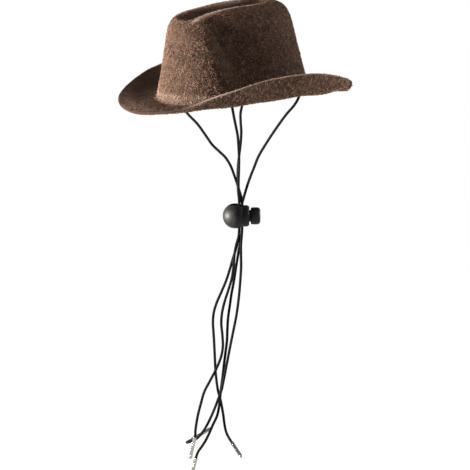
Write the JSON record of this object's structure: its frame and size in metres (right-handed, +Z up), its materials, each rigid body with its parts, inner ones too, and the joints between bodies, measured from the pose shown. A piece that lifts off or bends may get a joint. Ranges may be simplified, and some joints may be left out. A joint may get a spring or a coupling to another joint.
{
  "type": "dog cowboy hat with chin cords and cord lock",
  "caption": "Felt cowboy hat for a dog, with elastic chin cords, a sprung ball cord lock and metal cord tips.",
  "frame": {"origin": "middle of the opening that the head goes in, at the foot of the crown, where the hat sits on the head", "axes": "+Z up, -Y towards the front of the hat, +X towards the wearer's left"},
  "size_m": [0.1144, 0.1626, 0.3213],
  "materials": {
    "felt": "fuzzy dark brown felt with a short curly nap",
    "elastic_cord": "black braided elastic cord",
    "black_plastic": "satin black moulded plastic",
    "tip_metal": "crimped nickel plated metal"
  },
  "bodies": {
    "root": {"hat": "felt", "bridge_left": "elastic_cord", "bridge_right": "elastic_cord", "strand_left_front": "elastic_cord", "strand_left_back": "elastic_cord", "strand_right_front": "elastic_cord", "strand_right_back": "elastic_cord", "lock_body": "black_plastic", "tip_left_front": "tip_metal", "tip_left_back": "tip_metal", "tip_right_front": "tip_metal", "tip_right_back": "tip_metal"},
    "button": {"lock_button": "black_plastic"}
  },
  "joints": [
    {"name": "button_press", "type": "slide", "parent": "root", "child": "button", "axis": [-0.4939, -0.8695, 0], "range_m": [0, 0.003], "stiffness_N_per_m": 400, "springref_m": -0.004}
  ]
}
